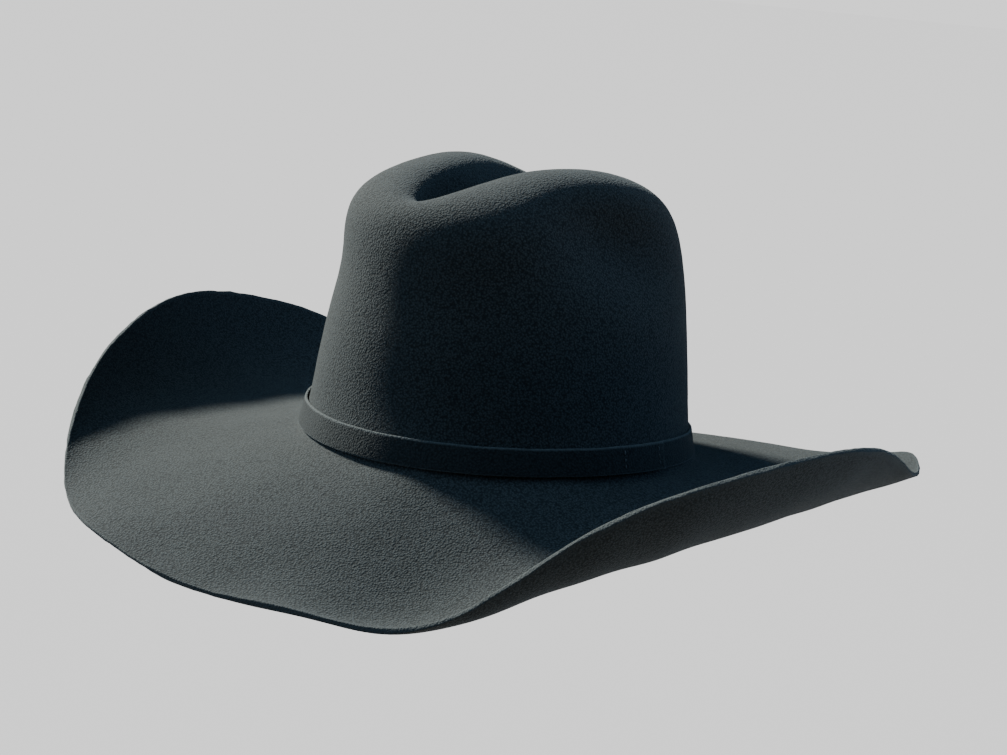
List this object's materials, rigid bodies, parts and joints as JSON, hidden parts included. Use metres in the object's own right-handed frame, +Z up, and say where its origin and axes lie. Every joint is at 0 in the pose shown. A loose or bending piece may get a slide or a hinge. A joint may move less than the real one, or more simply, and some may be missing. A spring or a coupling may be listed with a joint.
{
  "type": "cowboy hat",
  "caption": "Western felt hat with a creased, side-dented crown, a wide brim rolled up at the sides, a self-felt band, a leather sweatband and a satin liner.",
  "frame": {"origin": "centre of the head opening, at the mean height of the line where brim and crown meet", "axes": "+Z up out of the crown's top, front of the hat towards -Y, wearer's left towards +X"},
  "size_m": [0.3838, 0.394, 0.1717],
  "materials": {
    "felt": "dry, slightly napped fur felt with a fine pebbled grain, charcoal grey",
    "felt_band": "same felt, cut strap with a raw top edge",
    "dark_thread": "dark sewing thread",
    "sweatband_leather": "brown roan leather, fine grain, soft satin shine",
    "woven_tape": "dark woven tape",
    "brown_thread": "brown sewing thread",
    "bow_ribbon": "dark satin ribbon",
    "reed_plastic": "pale extruded plastic",
    "satin": "dark blue-grey satin with a sheen",
    "clear_sheet": "clear flexible plastic sheet",
    "label_weave": "cream woven label, blank"
  },
  "bodies": {
    "root": {"felt_body": "felt", "hatband": "felt_band", "hatband_tacks": "dark_thread", "sweatband": "sweatband_leather", "sweatband_seam_tape": "woven_tape", "sweatband_seam_stitches": "brown_thread", "sweatband_stitches": "brown_thread", "sweatband_bow": "bow_ribbon", "reed": "reed_plastic", "reed_tape": "woven_tape", "liner_side": "satin", "liner_tip": "satin", "tip_protector": "clear_sheet", "size_label": "label_weave"}
  },
  "joints": []
}
